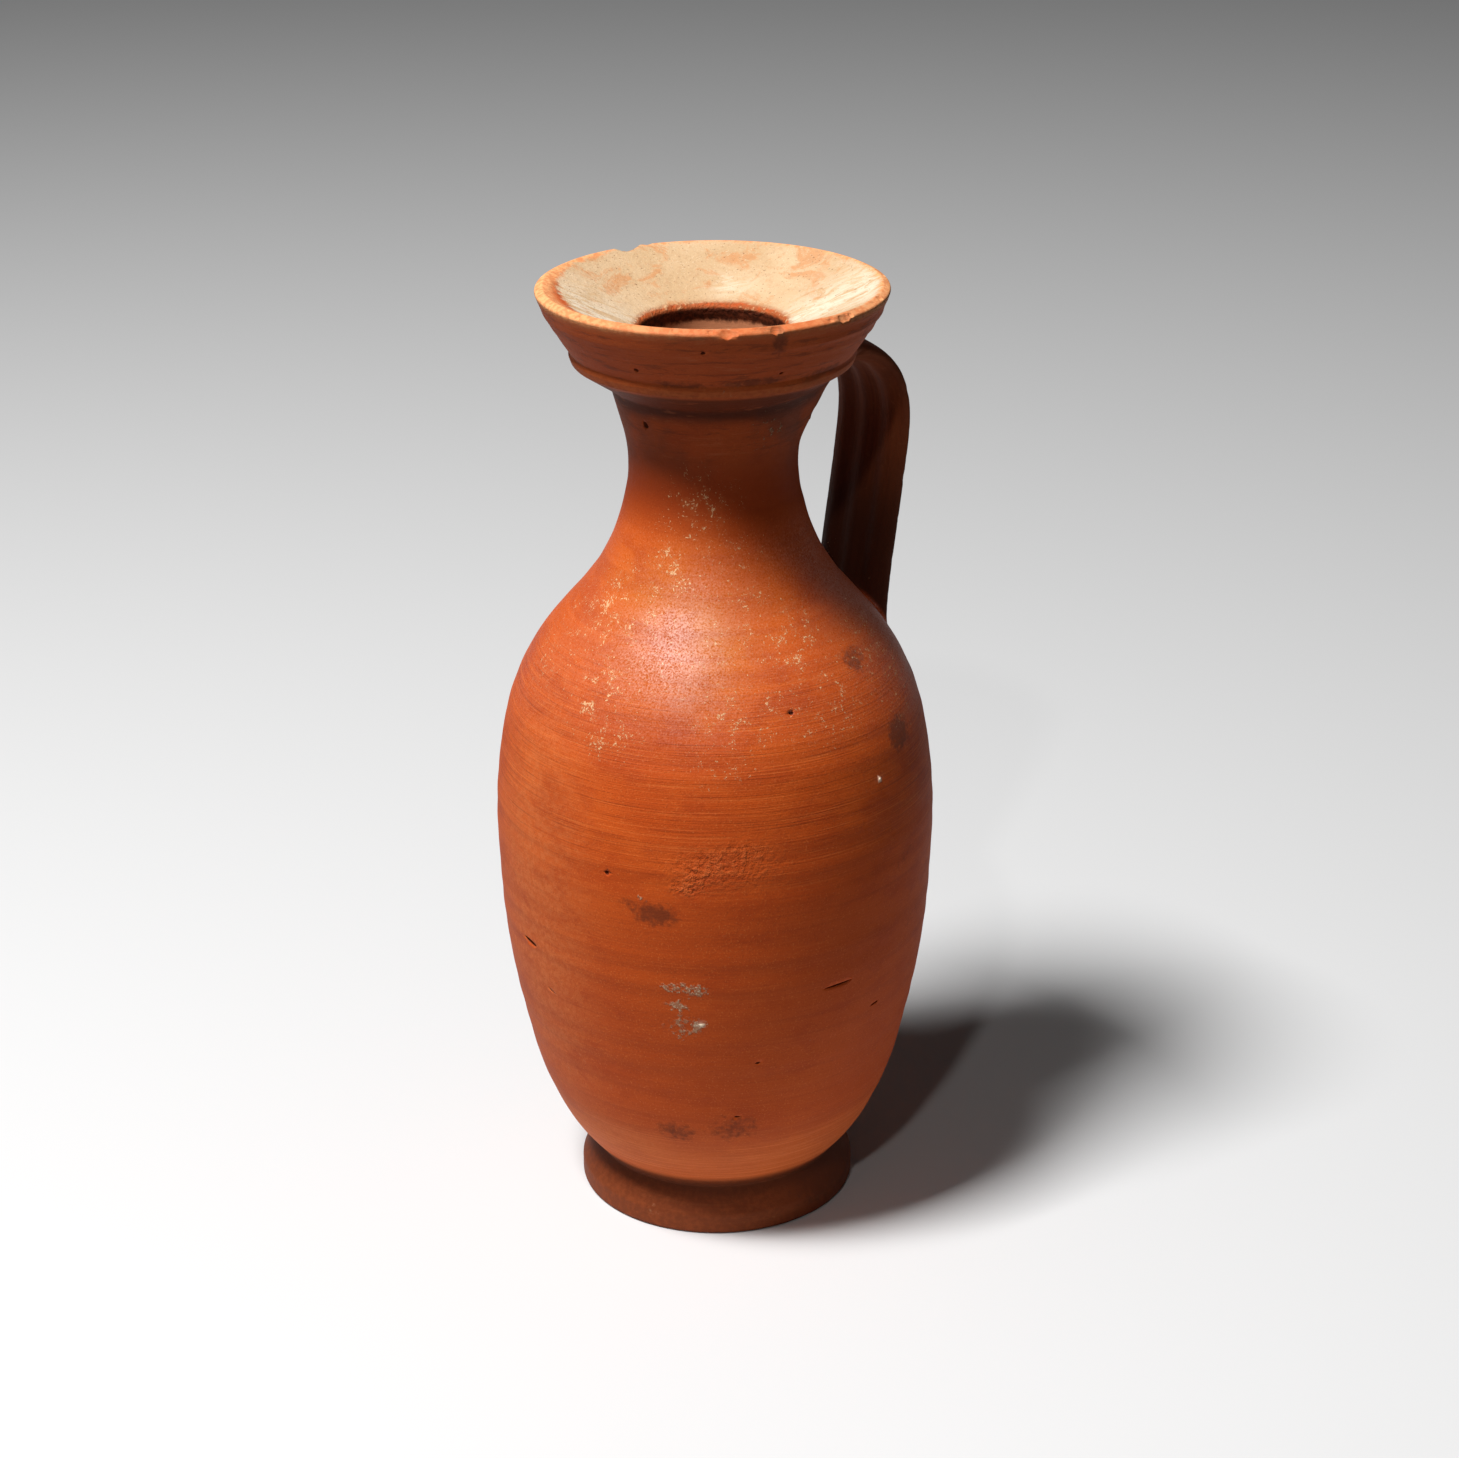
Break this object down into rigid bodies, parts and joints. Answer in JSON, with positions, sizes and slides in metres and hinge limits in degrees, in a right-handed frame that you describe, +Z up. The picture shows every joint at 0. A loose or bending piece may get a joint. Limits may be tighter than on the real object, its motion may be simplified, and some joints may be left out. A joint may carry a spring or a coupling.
{
  "type": "redware jug",
  "caption": "Unglazed red clay jug with a flared dish mouth, narrow neck, tall ovoid belly, ring foot and an arched strap handle.",
  "frame": {"origin": "centre of the ring foot, in the plane that it stands on", "axes": "+Z up along the pot's turning axis, +X towards the handle, which lies in the XZ plane"},
  "size_m": [0.0918, 0.0918, 0.2],
  "materials": {
    "fired_clay": "unglazed red earthenware, wheel marked and slightly burnished, with a pale lime bloom inside the mouth"
  },
  "bodies": {
    "root": {"jug": "fired_clay"}
  },
  "joints": []
}
